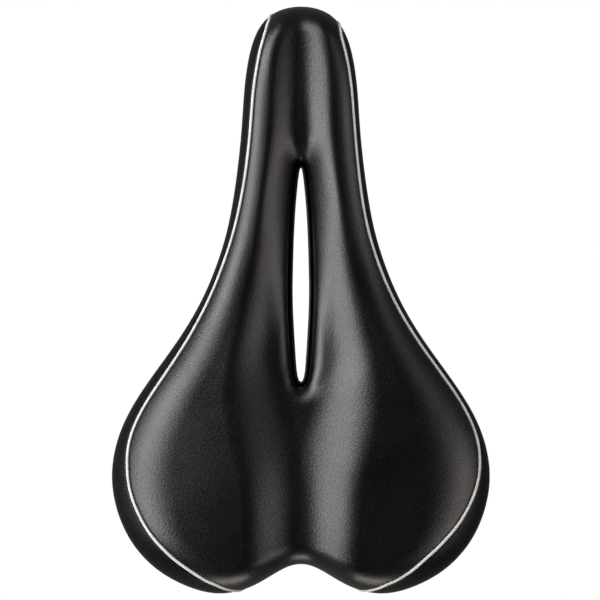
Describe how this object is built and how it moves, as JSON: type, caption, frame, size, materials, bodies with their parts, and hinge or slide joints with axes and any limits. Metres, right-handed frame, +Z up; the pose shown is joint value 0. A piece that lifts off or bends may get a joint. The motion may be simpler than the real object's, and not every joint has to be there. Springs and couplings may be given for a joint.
{
  "type": "bicycle saddle",
  "caption": "Long-nosed padded bicycle saddle with a lens-shaped relief slot, notched tail, piped sewn cover and a steel rail frame for a seatpost clamp.",
  "frame": {"origin": "midway between the two rails' centre lines, at the middle of their straight clamp zone", "axes": "+Y to the nose, +X to the rider's right, +Z up; the straight part of the rails is level"},
  "size_m": [0.1742, 0.2717, 0.0688],
  "materials": {
    "base_plastic": "fine-textured moulded nylon",
    "foam": "open-cell polyurethane foam",
    "gel": "soft translucent gel",
    "cover_leather": "fine-grained synthetic leather",
    "side_leather": "fine-grained synthetic leather",
    "piping": "smooth rolled bead",
    "trim_plastic": "satin moulded nylon",
    "rail_steel": "satin nickel-plated steel rod",
    "cap_plastic": "fine-textured moulded nylon",
    "screw_steel": "zinc-plated pan head"
  },
  "bodies": {
    "root": {"base_shell": "base_plastic", "foam_pad": "foam", "gel_pad_left": "gel", "gel_pad_right": "gel", "cover_top_panel": "cover_leather", "cover_side_panel_left": "side_leather", "cover_side_panel_right": "side_leather", "piping_left": "piping", "piping_right": "piping", "slot_trim": "trim_plastic", "rail_left": "rail_steel", "rail_right": "rail_steel", "nose_clamp_cap": "cap_plastic", "rear_clamp_cap_left": "cap_plastic", "rear_clamp_cap_right": "cap_plastic", "nose_screw_1": "screw_steel", "nose_screw_2": "screw_steel", "rear_screw_1_left": "screw_steel", "rear_screw_1_right": "screw_steel", "rear_screw_2_left": "screw_steel", "rear_screw_2_right": "screw_steel"}
  },
  "joints": []
}
